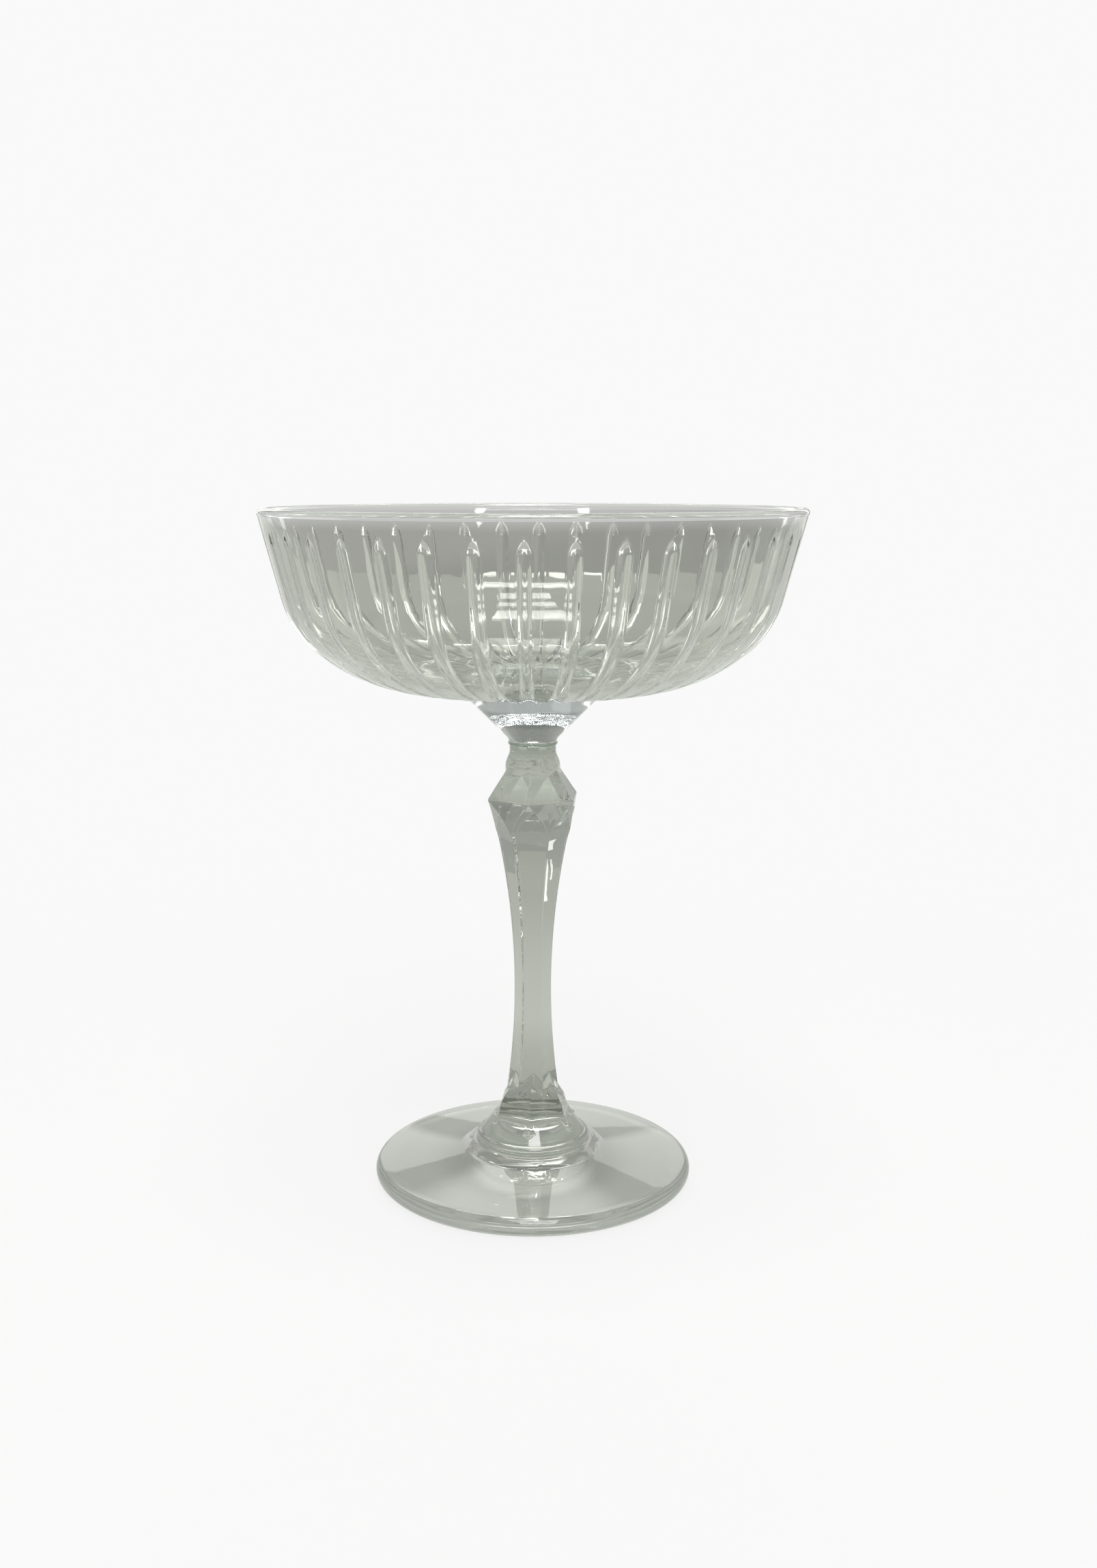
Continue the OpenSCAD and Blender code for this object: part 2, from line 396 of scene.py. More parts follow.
@dataclass
class Stem:
    """The stem: round base, flare, lower ridge, six hollowed flats, ridged knop, collar and neck.

    Its radius is a function of the angle and the height. Six planes give a section whose inverse
    radius is a power norm of the cosines over the apothem, which rounds the edges a little, and
    sections are united and crossed with soft largest and smallest values. A stretch has a radius of 0
    at heights where it isn't. Fields that end in _z are heights on the glass, _h lengths along it, _a
    distances of flats from the axis, _r radii at corners, and _lean or _deg angles in degrees.
    """

    bottom: float = FOOT_TOP
    top: float = STEM_TOP
    turn_deg: float = -5.0
    base: float = 11.9
    base_edge: float = 2.2
    flare: float = 10.9
    flare_top: float = 8.3
    flare_h: float = 3.2
    cove: float = 6.0
    cove_a: float = 8.6
    cove_z: float = 11.8
    band_h: float = 1.4
    band_out: float = 0.35
    low_z: float = 16.6
    low_r: float = 7.3
    low_lean: float = 30.0
    low_run_h: float = 5.5
    waist: float = 3.34
    waist_z: float = 41.0
    hollow: float = 179.0
    leg_end_h: float = 2.0
    ridge_z: float = 81.6
    ridge_r: float = 10.1
    under_lean: float = 8.5
    upper_lean: float = 32.0
    runout: float = 26.0
    runout_h: float = 9.0
    runout_over: float = 0.1
    runout_lead_h: float = 1.2
    collar: float = 5.6
    collar_z: float = 88.2
    collar_start_h: float = 1.0
    slope_h: float = 3.0
    neck: float = NECK_R
    least_a: float = 0.5
    edge_power: float = 140.0
    soft: float = 0.1
    crease_h: float = 0.2
    bead_gap: float = 0.12
    columns: int = 360

    def six_sided(self, apothem: np.ndarray, normal_deg: float, theta: np.ndarray) -> np.ndarray:
        """Radius of a six-sided section of each height's apothem.

        Args:
            apothem: Distance of the flats from the axis at each height.
            normal_deg: Where one flat faces, in degrees from the front.
            theta: Angles from +X.

        Returns:
            Radius: heights, angles.
        """
        faces = FRONT + np.radians(normal_deg + 60 * np.arange(6))
        reach = np.maximum(np.cos(theta[None, :] - faces[:, None]), 0)
        support = (reach ** self.edge_power).sum(axis=0) ** (1 / self.edge_power)
        return apothem[:, None] / support[None, :]

    def flat_at(self, z: np.ndarray) -> np.ndarray:
        """Distance of the long hollowed flats from the axis."""
        return self.waist + self.hollow - np.sqrt(self.hollow ** 2 - (z - self.waist_z) ** 2)

    def run_at(self, z: np.ndarray, start: Sequence[float], end: Sequence[float],
               radius: float) -> np.ndarray:
        """Distance from the axis of a round hollow through two points, its centre outside.

        Args:
            z: Heights.
            start: Lower point, distance from the axis and height.
            end: Upper point.
            radius: Radius of the hollow.

        Returns:
            Distance at each height.
        """
        p, q = np.asarray(start), np.asarray(end)
        d = q - p
        n = np.array([d[1], -d[0]]) / np.hypot(*d)
        c = (p + q) / 2 + n * math.sqrt(radius ** 2 - d @ d / 4)
        return c[0] - np.sqrt(np.maximum(radius ** 2 - (z - c[1]) ** 2, 0))

    def knop_at(self, z: np.ndarray, theta: np.ndarray) -> np.ndarray:
        """Radius of the knop, six leaning faces crossed with six hollows that run out to its corners.

        Args:
            z: Heights.
            theta: Angles from +X.

        Returns:
            Radius: heights, angles.
        """
        rise = z - self.ridge_z
        ridge_a = self.ridge_r * HEX_FLAT
        under = ridge_a + rise * math.tan(math.radians(self.under_lean))
        upper = ridge_a - rise * math.tan(math.radians(self.upper_lean))
        faces = np.maximum(soft_min(under, upper, self.soft), self.least_a)
        run_z = self.ridge_z - self.runout_h
        run = self.run_at(z, [self.flat_at(run_z), run_z],
                          [self.ridge_r + self.runout_over, self.ridge_z], self.runout)
        knop = soft_min(self.six_sided(faces, self.turn_deg + HEX_HALF_DEG, theta),
                        self.six_sided(run, self.turn_deg, theta), self.soft)
        return np.where((rise > -self.runout_lead_h - self.runout_h)[:, None], knop, 0)

    def low_ridge_at(self, z: np.ndarray, theta: np.ndarray) -> np.ndarray:
        """Radius of the lower ridge, a six-sided band that leans in above, with a round hollow below.

        Args:
            z: Heights.
            theta: Angles from +X.

        Returns:
            Radius: heights, angles.
        """
        low_a = self.low_r * HEX_FLAT
        over = z - self.low_z
        band_z = self.low_z - self.band_h
        band = soft_min(low_a - over * self.band_out / self.band_h,
                        low_a - over * math.tan(math.radians(self.low_lean)), self.soft / 2)
        cove = self.run_at(z, [self.cove_a, self.cove_z], [low_a + self.band_out, band_z], self.cove)
        below = np.where(z > self.cove_z, cove, self.cove_a)
        side = np.where(z > band_z, np.maximum(band, self.least_a), below)
        return self.six_sided(side, self.turn_deg + HEX_HALF_DEG, theta)

    def round_at(self, z: np.ndarray) -> np.ndarray:
        """Radius of the round stretches: the beaded base, the flare, and the collar with the neck.

        Args:
            z: Heights.

        Returns:
            Radius at each height.
        """
        half = self.base_edge / 2
        above = z - self.bottom - half
        bead = self.base - half + np.sqrt(np.maximum(half ** 2 - above ** 2, 0))
        share = (z - self.bottom - self.base_edge) / self.flare_h
        cone = self.flare + (self.flare_top - self.flare) * share
        wide = 1 - smooth_step(self.collar_z, self.collar_z + self.slope_h, z)
        neck = self.neck + (self.collar - self.neck) * wide
        return np.maximum.reduce([
            np.where(np.abs(above) <= half + TINY, bead, 0),
            np.where((share >= -TINY) & (share <= 1 + TINY), cone, 0),
            np.where(z >= self.ridge_z + self.collar_start_h, neck, 0)])

    def radius_at(self, z: np.ndarray, theta: np.ndarray) -> np.ndarray:
        """Radius of the stem at each height and angle, the soft largest of its stretches.

        Args:
            z: Heights.
            theta: Angles from +X.

        Returns:
            Radius: heights, angles.
        """
        leg = self.six_sided(self.flat_at(z), self.turn_deg, theta)
        made = leg * (z < self.ridge_z - self.leg_end_h)[:, None]
        made = soft_max(made, self.knop_at(z, theta), self.soft)
        made = soft_max(made, self.low_ridge_at(z, theta), self.soft)
        return soft_max(made, np.repeat(self.round_at(z)[:, None], len(theta), axis=1), self.soft)

    def heights(self) -> np.ndarray:
        """Heights of the rings, close together where the section changes.

        The base's bead is stepped by angle, and its first and last ring keep bead_gap radians from its
        ends. Above it, each stretch has a start and a number of rings, and ends where the next starts.

        Returns:
            Heights from the bottom to the top.
        """
        half = self.base_edge / 2
        turn = np.linspace(self.bead_gap, math.pi - self.bead_gap, 12)
        bead = self.bottom + half - half * np.cos(turn)
        cone_z = self.bottom + self.base_edge
        band_z = self.low_z - self.band_h
        starts_and_counts = (
            (cone_z, 24),
            (cone_z + self.flare_h, 16),
            (band_z - self.crease_h, 8),
            (band_z + self.crease_h, 8),
            (self.low_z - self.crease_h, 8),
            (self.low_z + self.crease_h, 28),
            (self.low_z + self.low_run_h, 44),
            (self.ridge_z - self.runout_h - 2 * self.runout_lead_h, 56),
            (self.ridge_z - 2 * self.crease_h, 16),
            (self.ridge_z + 2 * self.crease_h, 48),
            (self.collar_z + self.slope_h, 1),
        )
        ends = [start for start, _ in starts_and_counts[1:]] + [self.top]
        runs = [np.linspace(start, end, count, endpoint=False)
                for (start, count), end in zip(starts_and_counts, ends)]
        return np.concatenate([[self.bottom], bead, *runs, [self.top]])

    def build(self, glass: bpy.types.Material, fused: bpy.types.Material) -> bpy.types.Object:
        """Make the stem's skin.

        Args:
            glass: Finish of the surface.
            fused: Finish of the two ends.

        Returns:
            The stem's object.
        """
        z = self.heights()
        theta = even_turn(self.columns, FRONT + math.radians(self.turn_deg))
        r = self.radius_at(z, theta)
        r[0] = self.base - self.base_edge / 2
        level = np.repeat(z[:, None], len(theta), axis=1)
        rings = np.stack([r * np.cos(theta), r * np.sin(theta), level], axis=-1)
        layers = layer_rows(len(z) + 1, [0, len(z)])
        return RingSkin(STEM_NAME, rings, self.bottom, self.top, layers).build(glass, fused)


@dataclass
class Button:
    """The button between stem and bowl: a cone with a hollow where it meets the neck."""

    bottom: float = STEM_TOP
    top: float = BUTTON_TOP
    radius: float = BOWL_JOINT_R
    neck: float = NECK_R
    lean: float = 45.0
    fillet: float = 2.5
    bead: float = 0.35
    bead_h: float = 0.525
    columns: int = 240

    def profile(self) -> np.ndarray:
        """Section of the side, from the neck up to the bowl, with a small bead just over the neck.

        Returns:
            Points of distance from the axis and height.
        """
        corner_z = self.top - (self.radius - self.neck) / math.tan(math.radians(self.lean))
        length = self.fillet * math.tan(math.radians(self.lean / 2))
        centre = np.array([self.neck + self.fillet, corner_z - length])
        hollow = arc(centre, self.fillet, 180, 180 - self.lean, 16)
        bead = arc(np.array([self.neck, self.bottom + self.bead_h]), self.bead, -90, 90, 10)
        return join(line([self.neck, self.bottom], bead[0], 1), bead, line(bead[-1], hollow[0], 3), hollow,
                    line(hollow[-1], [self.radius, self.top], 10))

    def build(self, glass: bpy.types.Material, fused: bpy.types.Material) -> bpy.types.Object:
        """Make the button's skin.

        Args:
            glass: Finish of the side.
            fused: Finish of the two ends.

        Returns:
            The button's object.
        """
        profile = self.profile()
        layers = layer_rows(len(profile) + 1, [0, len(profile)])
        rings = spin(profile, even_turn(self.columns))
        return RingSkin("button_glass", rings, self.bottom, self.top, layers).build(glass, fused)


@dataclass
class Bowl:
    """The fluted bowl.

    Its outside is a straight wall, a shoulder arc, a belly arc and a nearly level underside. Each
    flute is hollowed along the surface's normal by its depth times one less the square of the
    distance from its middle over its half-width, with the edges eased. Heights are counted from the
    seat on the button.
    """

    seat: float = BUTTON_TOP
    rim_r: float = 54.45
    height: float = 37.0
    wall: float = 1.5
    lip: float = 1.7
    floor: float = 1.6
    lean: float = 14.6
    shoulder: float = 20.5
    shoulder_lean: float = 50.0
    belly: float = 33.8
    under_slope: float = 6.0
    joint: float = BOWL_JOINT_R
    joint_pole_r: float = 1.2
    floor_pole_r: float = 0.6
    flutes: int = 38
    flute_w: float = 2.4
    flute_deep: float = 0.45
    flute_top: float = 4.7
    flute_arch: float = 2.7
    flute_turn_deg: float = -1.6
    flute_crowd: float = 0.37
    tip_half: float = 0.06
    tip_spread: float = 0.4
    tip_clear: float = 3.0
    depth_power: float = 1.1
    fade_in: float = 0.6
    fade_out: float = 5.0
    hollow_at: tuple[float, ...] = (0.0, 0.3, 0.56, 0.78, 0.92, 1.0)
    land_at: tuple[float, ...] = (0.05, 0.18, 0.45, 0.75)
    edge_soft: float = 0.045
    wall_gap: float = 0.5
    lip_gap: float = 0.4
    lip_ease: float = 0.006

    def __post_init__(self) -> None:
        """Work out the centres of the arcs from the rim down."""
        half = self.lip / 2
        self.lip_c = np.array([self.rim_r - half, self.height - half])
        self.dish = 90 - self.under_slope
        tilt = math.tan(math.radians(self.under_slope))
        top = self.lip_c + polar(-self.lean) * self.wall / 2
        sag = self.shoulder * (polar(-self.lean) - polar(-self.shoulder_lean)) \
            + self.belly * (polar(-self.shoulder_lean) - polar(-self.dish))
        down = np.array([-math.sin(math.radians(self.lean)), -math.cos(math.radians(self.lean))])
        length = (top[1] - sag[1] - (top[0] - sag[0] - self.joint) * tilt) / (-down[1] + down[0] * tilt)
        self.wall_top = top
        self.wall_end = top + down * length
        self.shoulder_c = self.wall_end - polar(-self.lean) * self.shoulder
        self.belly_c = self.shoulder_c + polar(-self.shoulder_lean) * (self.shoulder - self.belly)
        self.belly_end = self.belly_c + polar(-self.dish) * self.belly

    def wall_at(self, z: np.ndarray) -> np.ndarray:
        """Points of the straight outer wall at given heights."""
        share = (z - self.wall_end[1]) / (self.wall_top[1] - self.wall_end[1])
        return self.wall_end + share[:, None] * (self.wall_top - self.wall_end)

    def outside(self) -> tuple[np.ndarray, np.ndarray]:
        """Outer profile from the joint with the button up to the lip.

        Returns:
            Points and outward normals.
        """
        tip = self.height - self.flute_top
        spring = tip - self.flute_arch
        top = self.wall_top[1]
        high = np.concatenate([np.linspace(self.wall_end[1], spring, 7), np.linspace(spring, tip, 19)[1:],
                               np.linspace(tip, top - self.wall_gap, 7)[1:], [top - self.lip_gap]])
        under = line([self.joint, 0], self.belly_end, 10)
        belly = arc(self.belly_c, self.belly, -self.dish, -self.shoulder_lean, 16)
        shoulder = arc(self.shoulder_c, self.shoulder, -self.shoulder_lean, -self.lean, 14)
        points = join(under, belly, shoulder, self.wall_at(high))
        turn = np.radians(np.concatenate([
            np.full(len(under), -self.dish),
            np.linspace(-self.dish, -self.shoulder_lean, len(belly))[1:],
            np.linspace(-self.shoulder_lean, -self.lean, len(shoulder))[1:],
            np.full(len(high) - 1, -self.lean)]))
        return points, np.stack([np.cos(turn), np.sin(turn)], axis=1)

    def inside(self) -> np.ndarray:
        """Profile over the lip and down the inside to the floor.

        Returns:
            Points of distance from the axis and height.
        """
        rise = math.degrees(math.acos(self.wall / self.lip))
        lip = arc(self.lip_c, self.lip / 2, -self.lean - rise, 180 - self.lean + rise, 16)
        end = self.wall_end - polar(-self.lean) * self.wall
        shoulder = arc(self.shoulder_c, self.shoulder - self.wall, -self.lean, -self.shoulder_lean, 10)
        belly = arc(self.belly_c, self.belly - self.wall, -self.shoulder_lean, -self.dish, 12)
        floor_r = belly[-1, 0] - (belly[-1, 1] - self.floor) / math.tan(math.radians(self.under_slope))
        below = lip[-1] + (end - lip[-1]) * self.lip_ease
        return join(lip, line(lip[-1], below, 1), line(below, end, 4), shoulder, belly,
                    line(belly[-1], [floor_r, self.floor], 3),
                    line([floor_r, self.floor], [self.floor_pole_r, self.floor], 5))

    def flute_half(self, points: np.ndarray) -> tuple[np.ndarray, np.ndarray]:
        """Half-width and depth of the flutes along the outer profile.

        The half-width follows a pointed arch at the tip, two arcs that meet, and narrows where the
        flutes crowd together under the bowl. Over the tip it widens again at no depth, so that the
        columns of points stay apart.

        Args:
            points: Outer profile.

        Returns:
            Half-width and depth at each point.
        """
        r, z = points[:, 0], points[:, 1]
        half = self.flute_w / 2
        spring = self.height - self.flute_top - self.flute_arch
        arch = (half ** 2 + self.flute_arch ** 2) / (2 * half)
        h = np.clip(z - spring, 0, self.flute_arch)
        width = np.maximum(half - arch + np.sqrt(arch ** 2 - h ** 2), self.tip_half)
        width = np.minimum(width, self.flute_crowd * 2 * math.pi * r / self.flutes)
        over = np.clip(z - spring - self.flute_arch, 0, self.tip_clear)
        width = np.minimum(width + over * self.tip_spread, half)
        fade = smooth_step(self.joint + self.fade_in, self.joint + self.fade_out, r)
        depth = self.flute_deep * (width / half) ** self.depth_power * fade
        return width, np.where(over > 0, 0, depth)

    def rings(self) -> tuple[np.ndarray, int]:
        """All rings of the bowl, from beside the joint's centre to beside the floor's centre.

        Returns:
            Rings of points, and the number of rings that lie in the joint.
        """
        points, normals = self.outside()
        width, depth = self.flute_half(points)
        pitch = 2 * math.pi / self.flutes
        gap = pitch * points[:, :1] / 2 - width[:, None]
        half = np.concatenate([width[:, None] * np.array(self.hollow_at),
                               width[:, None] + gap * np.array(self.land_at)], axis=1)
        offset = np.concatenate([-half[:, :0:-1], half, width[:, None] + gap], axis=1)
        x = depth[:, None] * (1 - (offset / width[:, None]) ** 2)
        cut = self.edge_soft * np.logaddexp(0, x / self.edge_soft) * (depth > 0)[:, None]
        centres = FRONT + math.radians(self.flute_turn_deg) + np.arange(self.flutes) * pitch
        theta = (centres[None, :, None] + (offset / points[:, :1])[:, None, :]).reshape(len(points), -1)
        cut = np.tile(cut, (1, self.flutes))
        r = points[:, :1] - normals[:, :1] * cut
        z = points[:, 1:] - normals[:, 1:] * cut
        outside = np.stack([r * np.cos(theta), r * np.sin(theta), z + 0 * theta], axis=-1)
        joint = spin(line([self.joint_pole_r, 0], [self.joint, 0], 4)[:-1], theta[0])
        inside = spin(self.inside(), theta[-1])
        made = np.concatenate([joint, outside, inside])
        made[:, :, 2] += self.seat
        return made, len(joint)

    def build(self, glass: bpy.types.Material, fused: bpy.types.Material) -> bpy.types.Object:
        """Make the bowl's skin.

        Args:
            glass: Finish of the surface.
            fused: Finish over the button.

        Returns:
            The bowl's object.
        """
        rings, joint = self.rings()
        layers = layer_rows(len(rings) + 1, range(joint + 1))
        return RingSkin(BOWL_NAME, rings, self.seat, self.seat + self.floor, layers).build(glass, fused)


@dataclass(frozen=True)
class SoftBox:
    """A flat soft light that faces a place on the glass's axis.

    Azimuth is in degrees from the front, to the viewer's right, and elevation above the level. With
    the name of a piece in only, it lights that piece alone.
    """

    name: str
    azimuth: float
    elevation: float
    distance: float
    width: float
    height: float
    radiance: float
    only: str = ""
    aim_z: float = 0.09

    def build(self) -> None:
        """Make the light, its power being radiance times area times pi, for all pieces or for one."""
        lamp = bpy.data.lights.new(self.name, "AREA")
        lamp.shape = "RECTANGLE"
        lamp.size = self.width
        lamp.size_y = self.height
        lamp.energy = self.radiance * math.pi * self.width * self.height
        made = bpy.data.objects.new(self.name, lamp)
        az, el = math.radians(self.azimuth), math.radians(self.elevation)
        aim = np.array([math.cos(el) * math.sin(az), -math.cos(el) * math.cos(az), math.sin(el)])
        made.location = aim * self.distance + np.array([0, 0, self.aim_z])
        made.rotation_euler = (math.pi / 2 - el, 0, az)
        made.visible_camera = False
        bpy.context.collection.objects.link(made)
        if self.only:
            lit = bpy.data.collections.new(self.name)
            lit.objects.link(bpy.data.objects[self.only])
            made.light_linking.receiver_collection = lit


@dataclass(frozen=True)
class Patch:
    """A part of the surroundings with soft edges.

    Turn is the angle from straight behind the glass to either side, rise the one above the level,
    both in degrees. Each pair gives where the patch starts to show and where it is full, or the
    other way about. Through is the share of the patch that shows to light bent by the glass, while
    mirrored light shows all of it.
    """

    glow: float
    through: float = 1.0
    turn_in: tuple[float, float] = (-2.0, -1.0)
    turn_out: tuple[float, float] = (181.0, 182.0)
    rise_in: tuple[float, float] = (-92.0, -91.0)
    rise_out: tuple[float, float] = (91.0, 92.0)

    def paint(self, tree: bpy.types.NodeTree, under: bpy.types.NodeSocket, turn: bpy.types.NodeSocket,
              rise: bpy.types.NodeSocket, bent: bpy.types.NodeSocket) -> bpy.types.NodeSocket:
        """Lay the patch over what is there.

        Args:
            tree: The world's node tree.
            under: Brightness so far.
            turn: Angle from straight behind, in radians.
            rise: Angle above the level, in radians.
            bent: 1 for light that the glass has bent, else 0.

        Returns:
            Brightness with the patch.
        """
        share = add_node(tree, "ShaderNodeMath", {0: bent, 1: self.through - 1, 2: 1.0},
                         operation="MULTIPLY_ADD").outputs[0]
        edges = ((turn, self.turn_in, (0.0, 1.0)), (turn, self.turn_out, (1.0, 0.0)),
                 (rise, self.rise_in, (0.0, 1.0)), (rise, self.rise_out, (1.0, 0.0)))
        for angle, (low, high), ends in edges:
            edge = add_node(tree, "ShaderNodeMapRange", {
                0: angle, 1: math.radians(low), 2: math.radians(high), 3: ends[0], 4: ends[1]},
                interpolation_type="SMOOTHSTEP").outputs[0]
            share = add_node(tree, "ShaderNodeMath", {0: share, 1: edge}, operation="MULTIPLY").outputs[0]
        return add_node(tree, "ShaderNodeMix", {0: share, 2: under, 3: self.glow},
                        data_type="FLOAT").outputs[0]


@dataclass
class Studio:
    """The table, the plain grey room that the glass bends and mirrors, the lights and the camera.

    The camera itself sees the table and the room as white. Each reach is a pair of distances on the
    table between which a tone changes. Wall is the room's plain brightness, and tilt is how far its
    level leans to the sides, in radians.
    """

    white: str = "#F9F9F9"
    matte: str = "#F2F2F0"
    floor_r: float = 2.0
    floor_sides: int = 96
    floor_drop: float = 0.0002
    plain_near: float = 0.88
    plain_reach: tuple[float, float] = (0.06, 0.3)
    table: str = "#CFD1CC"
    table_near: float = 1.12
    near_reach: tuple[float, float] = (0.12, 0.5)
    table_light: float = 0.4
    light_reach: tuple[float, float] = (0.2, 0.4)
    light_in_deg: tuple[float, float] = (9.0, 12.0)
    light_out_deg: tuple[float, float] = (24.0, 30.0)
    stem_glow: float = 0.5
    glow_y: float = -0.006
    glow_reach: tuple[float, float] = (0.0095, 0.0135)
    stem_shade: float = -0.28
    shade_reach: tuple[float, float] = (0.013, 0.023)
    tint: str = "#FFFFFD"
    wall: float = 0.53
    tilt: float = 0.23
    distance: float = 0.337
    eye: float = 0.1462
    pitch_deg: float = 10.45
    focal_px: float = 2449.0
    axis_px: float = 780.5
    sensor_mm: float = 36.0
    clip_start: float = 0.01
    bounces: int = 24

    def table_tone(self, tree: bpy.types.NodeTree, place: bpy.types.NodeSocket,
                   away: bpy.types.NodeSocket) -> bpy.types.NodeSocket:
        """Work out the table's tone as the glass shows it.

        It is painted lighter near the glass and painted with the light of a window to each side behind.
        A painted lit spot under the stem stands for light that comes down it, with a painted shaded ring
        round the spot.

        Args:
            tree: The table's node tree.
            place: Object coordinates.
            away: Distance from the origin.

        Returns:
            The tone.
        """
        # Painted light: the table is lighter near the glass.
        near = add_node(tree, "ShaderNodeMapRange", {
            0: away, 1: self.near_reach[0], 2: self.near_reach[1], 3: self.table_near, 4: 1.0},
            interpolation_type="SMOOTHSTEP").outputs[0]
        spot = add_node(tree, "ShaderNodeSeparateXYZ", {0: place})
        aside = add_node(tree, "ShaderNodeMath", {0: spot.outputs["X"]}, operation="ABSOLUTE").outputs[0]
        turn = add_node(tree, "ShaderNodeMath", {0: aside, 1: spot.outputs["Y"]},
                        operation="ARCTAN2").outputs[0]
        # Painted light where a window to each side behind would fall on the table.
        lit = add_node(tree, "ShaderNodeMapRange", {
            0: away, 1: self.light_reach[0], 2: self.light_reach[1], 3: 0.0, 4: self.table_light},
            interpolation_type="SMOOTHSTEP").outputs[0]
        for (low, high), start, end in ((self.light_in_deg, 0.0, 1.0), (self.light_out_deg, 1.0, 0.0)):
            edge = add_node(tree, "ShaderNodeMapRange", {
                0: turn, 1: math.radians(low), 2: math.radians(high), 3: start, 4: end},
                interpolation_type="SMOOTHSTEP").outputs[0]
            lit = add_node(tree, "ShaderNodeMath", {0: lit, 1: edge}, operation="MULTIPLY").outputs[0]
        near = add_node(tree, "ShaderNodeMath", {0: near, 1: lit}, operation="ADD").outputs[0]
        # A painted lit spot under the stem and a painted shaded ring round it.
        for centre_y, (inner, outer), change in ((self.glow_y, self.glow_reach, self.stem_glow),
                                                 (0.0, self.shade_reach, self.stem_shade)):
            reach = add_node(tree, "ShaderNodeVectorMath", {0: place, 1: (0.0, centre_y, 0.0)},
                             operation="DISTANCE").outputs["Value"]
            mark = add_node(tree, "ShaderNodeMapRange", {0: reach, 1: inner, 2: outer, 3: change, 4: 0.0},
                            interpolation_type="SMOOTHSTEP").outputs[0]
            near = add_node(tree, "ShaderNodeMath", {0: near, 1: mark}, operation="ADD").outputs[0]
        return add_node(tree, "ShaderNodeVectorMath", {0: linear(self.table)[:3], "Scale": near},
                        operation="SCALE").outputs[0]

    def table_material(self) -> bpy.types.Material:
        """Make the table's finish: white to the camera, its tone with painted light and shade to the glass,
        matte to other light.

        Near the glass a share of the matte shading shows to all, which keeps the soft shadow.

        Returns:
            The material.
        """
        made = bpy.data.materials.new("pale_floor")
        made.use_nodes = True
        tree = made.node_tree
        tree.nodes.clear()
        path = add_node(tree, "ShaderNodeLightPath")
        place = add_node(tree, "ShaderNodeTexCoord").outputs["Object"]
        away = add_node(tree, "ShaderNodeVectorMath", {0: place}, operation="LENGTH").outputs["Value"]
        seen = add_node(tree, "ShaderNodeMapRange", {
            0: away, 1: self.plain_reach[0], 2: self.plain_reach[1], 3: self.plain_near, 4: 1.0},
            interpolation_type="SMOOTHSTEP").outputs[0]
        eye = path.outputs["Is Camera Ray"]
        kinds = eye
        for other in ("Is Glossy Ray", "Is Transmission Ray"):
            kinds = add_node(tree, "ShaderNodeMath", {0: kinds, 1: path.outputs[other]},
                             operation="MAXIMUM").outputs[0]
        seen = add_node(tree, "ShaderNodeMath", {0: kinds, 1: seen}, operation="MULTIPLY").outputs[0]
        tone = add_node(tree, "ShaderNodeMix", {
            0: eye, 6: self.table_tone(tree, place, away), 7: linear(self.white)},
            data_type="RGBA").outputs[2]
        glow = add_node(tree, "ShaderNodeEmission", {"Color": tone, "Strength": 1.0})
        matte = add_node(tree, "ShaderNodeBsdfDiffuse", {"Color": linear(self.matte)})
        both = add_node(tree, "ShaderNodeMixShader", {0: seen, 1: matte.outputs[0], 2: glow.outputs[0]})
        add_node(tree, "ShaderNodeOutputMaterial", {"Surface": both.outputs[0]})
        return made

    def build_floor(self) -> None:
        """Make the table top, one round face just under the glass."""
        rim = spin(np.array([[self.floor_r / MM, 0.0]]), even_turn(self.floor_sides))[0]
        points = rim * MM - np.array([0, 0, self.floor_drop])
        mesh = bpy.data.meshes.new("floor")
        mesh.from_pydata(points.tolist(), [], [list(range(len(points)))])
        mesh.materials.append(self.table_material())
        made = bpy.data.objects.new("floor", mesh)
        bpy.context.collection.objects.link(made)

    def patches(self) -> list[Patch]:
        """Parts of the room: the wall's foot, windows to each side behind, a beam and the roof."""
        return [
            Patch(0.44, rise_out=(-2.9, -1.6)),
            Patch(1.1, 0.1, turn_out=(13.0, 17.0), rise_in=(0.0, 1.5), rise_out=(10.0, 10.8)),
            Patch(1.4, 0.2, turn_in=(8.0, 9.5), turn_out=(24.0, 26.0), rise_in=(10.0, 10.8)),
            Patch(0.3, 0.3, turn_out=(80.0, 100.0), rise_in=(29.0, 29.6)),
            Patch(0.6, 1.0, rise_in=(34.0, 40.0)),
            Patch(2.4, 1.0, turn_out=(20.0, 26.0), rise_in=(34.0, 40.0)),
            Patch(0.38, 1.0, rise_in=(44.0, 50.0)),
        ]

